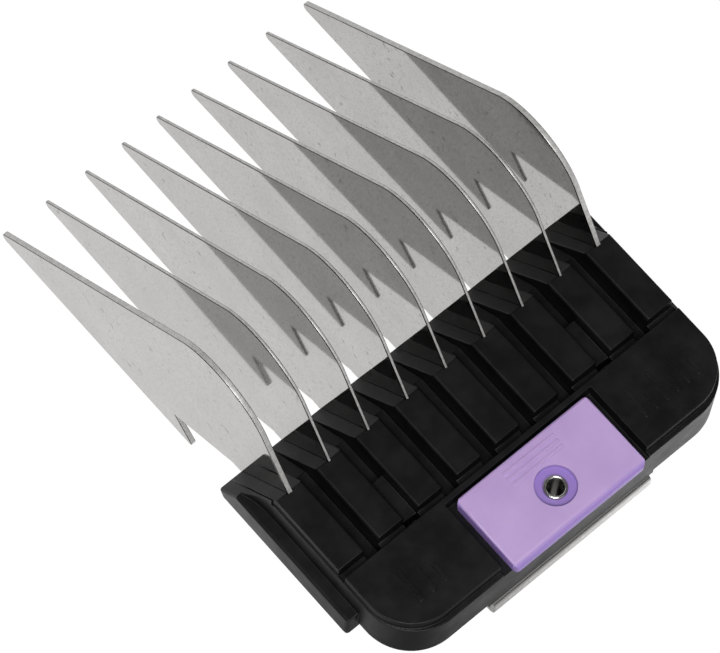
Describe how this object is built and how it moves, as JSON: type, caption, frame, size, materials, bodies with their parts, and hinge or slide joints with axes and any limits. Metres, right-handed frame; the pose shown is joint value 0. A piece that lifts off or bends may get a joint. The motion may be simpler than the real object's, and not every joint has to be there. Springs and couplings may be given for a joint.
{
  "type": "clipper guard comb",
  "caption": "Metal-tined hair clipper guard comb: curved steel tines set in a black plastic body, with a sprung latch and purple push button.",
  "frame": {"origin": "centre of the flat blade seat under the plate, on the comb's centre line", "axes": "+X across the comb, +Y towards the tine tips, +Z from the blade seat towards the skin side"},
  "size_m": [0.0568, 0.0785, 0.035],
  "materials": {
    "black_plastic": "satin moulded",
    "purple_plastic": "satin moulded",
    "tine_steel": "bright stamped sheet",
    "plate_steel": "bright bent sheet",
    "rivet_steel": "plated",
    "spring_steel": "drawn wire"
  },
  "bodies": {
    "comb": {"body": "black_plastic", "tine_1": "tine_steel", "tine_2": "tine_steel", "tine_3": "tine_steel", "tine_4": "tine_steel", "tine_5": "tine_steel", "tine_6": "tine_steel", "tine_7": "tine_steel", "tine_8": "tine_steel", "tine_9": "tine_steel", "spring_left": "spring_steel", "spring_right": "spring_steel"},
    "latch": {"latch_button": "purple_plastic", "rivet": "rivet_steel", "latch_plate": "plate_steel"}
  },
  "joints": [
    {"name": "latch_slide", "type": "slide", "parent": "comb", "child": "latch", "axis": [0, -1, 0], "range_m": [0, 0.0018], "stiffness_N_per_m": 5800, "springref_m": -0.001, "deforming": ["spring_left", "spring_right"]}
  ]
}
